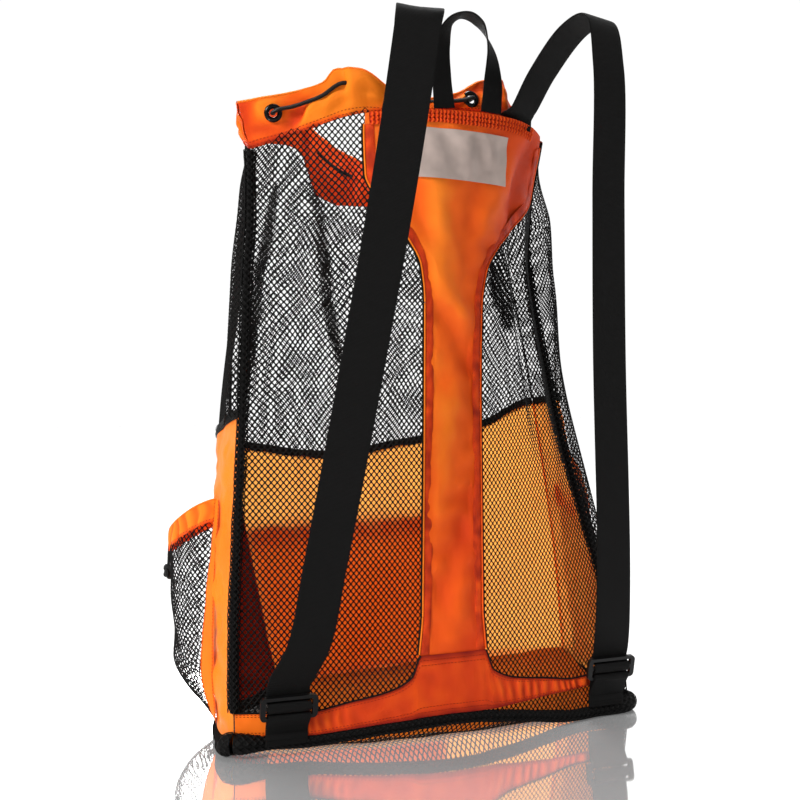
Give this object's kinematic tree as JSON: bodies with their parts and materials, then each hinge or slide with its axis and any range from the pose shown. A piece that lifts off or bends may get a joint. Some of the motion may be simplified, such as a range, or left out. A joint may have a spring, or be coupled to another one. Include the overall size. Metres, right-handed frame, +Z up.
{
  "type": "mesh backpack",
  "caption": "Drawstring mesh backpack with a nylon bucket and hourglass spine panel, webbing shoulder straps, haul loop and side pockets, standing upright on its base.",
  "frame": {"origin": "below the spine's axis at the middle of the base's depth, on the surface that the bag stands on", "axes": "+Z up; +X to the right of someone facing the strap side; -Y out of the strap side towards the wearer"},
  "size_m": [0.473, 0.3348, 0.6358],
  "materials": {
    "mesh": "open net, matte black",
    "nylon": "thin satin nylon, bright orange",
    "webbing": "ribbed black webbing",
    "plastic": "moulded black",
    "grommet": "black enamel",
    "reflective": "silver reflective coating",
    "cord": "braided black cord"
  },
  "bodies": {
    "root": {"base_mesh": "mesh", "base_seam": "mesh", "back_mesh_left": "mesh", "back_mesh_right": "mesh", "side_panel_right": "nylon", "side_mesh_right": "mesh", "binding_right": "mesh", "front_panel": "nylon", "front_mesh": "mesh", "binding_front": "mesh", "side_panel_left": "nylon", "side_mesh_left": "mesh", "binding_left": "mesh", "seam_back_left": "mesh", "seam_back_right": "mesh", "seam_front_right": "mesh", "seam_front_left": "mesh", "spine_panel": "nylon", "base_band": "nylon", "shirred_band": "nylon", "reflective_patch": "reflective", "front_pocket": "nylon", "pocket_left": "mesh", "pocket_hem_left": "nylon", "pocket_edge_left": "nylon", "pocket_right": "mesh", "pocket_hem_right": "nylon", "pocket_cord_left": "cord", "pocket_knot_left": "cord", "grommet_left": "grommet", "grommet_right": "grommet", "collar": "nylon", "drawcord": "cord", "strap_tab_left": "webbing", "buckle_left": "plastic", "strap_left": "webbing", "strap_tab_right": "webbing", "buckle_right": "plastic", "strap_right": "webbing", "haul_loop": "webbing"}
  },
  "joints": []
}
